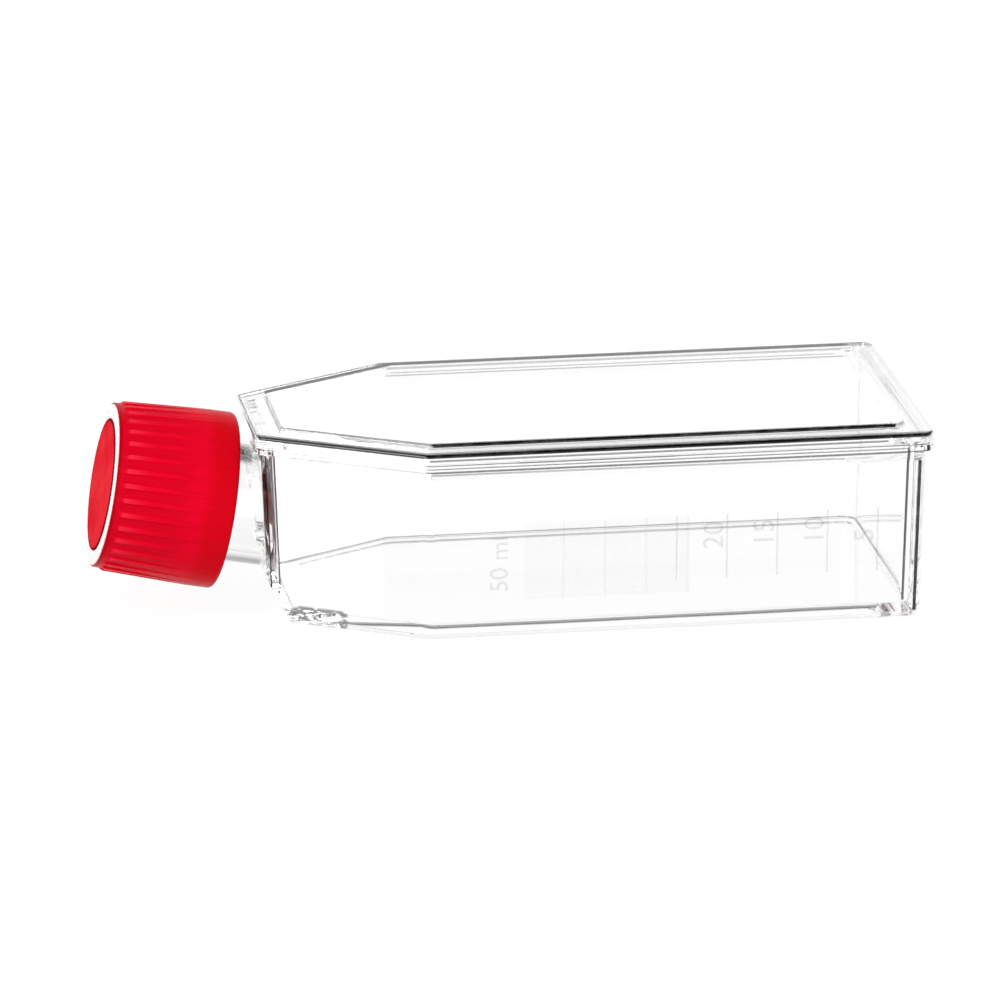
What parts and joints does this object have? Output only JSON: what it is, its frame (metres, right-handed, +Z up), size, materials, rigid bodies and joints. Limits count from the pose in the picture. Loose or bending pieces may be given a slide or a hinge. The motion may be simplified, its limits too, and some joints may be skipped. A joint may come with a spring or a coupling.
{
  "type": "cell culture flask",
  "caption": "Clear canted-neck cell culture flask lying on its floor, with a welded stepped cover and a ribbed screw cap that vents through a filter disc.",
  "frame": {"origin": "middle of the whole flask's footprint, on the surface that its foot stands on", "axes": "+X from the cap towards the back end, +Y across the flask, +Z up through the cover"},
  "size_m": [0.1046, 0.041, 0.0267],
  "materials": {
    "clear_polystyrene": "clear, polished injection-moulded polystyrene, faintly grey at its edges",
    "seal_elastomer": "soft translucent elastomer, satin",
    "red_polyethylene": "red moulded polyethylene, softly glossy, faintly translucent at its edges",
    "white_filter": "white matte membrane and carrier",
    "red_vent_cover": "lighter red moulded disc, satin"
  },
  "bodies": {
    "flask": {"flask_body": "clear_polystyrene", "cover_plate": "clear_polystyrene"},
    "seal": {"sealing_ring": "seal_elastomer"},
    "cap": {"cap_shell": "red_polyethylene", "filter_disc": "white_filter", "vent_cover": "red_vent_cover"}
  },
  "joints": [
    {"name": "cap_lift", "type": "slide", "parent": "flask", "child": "seal", "axis": [-0.9833, 0, 0.1822], "range_m": [0, 0.0201]},
    {"name": "cap_turn", "type": "hinge", "parent": "seal", "child": "cap", "pos_m": [-0.03097, 0, 0.01275], "axis": [-0.9833, 0, 0.1822], "range_deg": [0, 1440]}
  ],
  "couplings": [
    {"joint": "cap_lift", "follows": "cap_turn", "m_per_rad": 0.00079577}
  ]
}
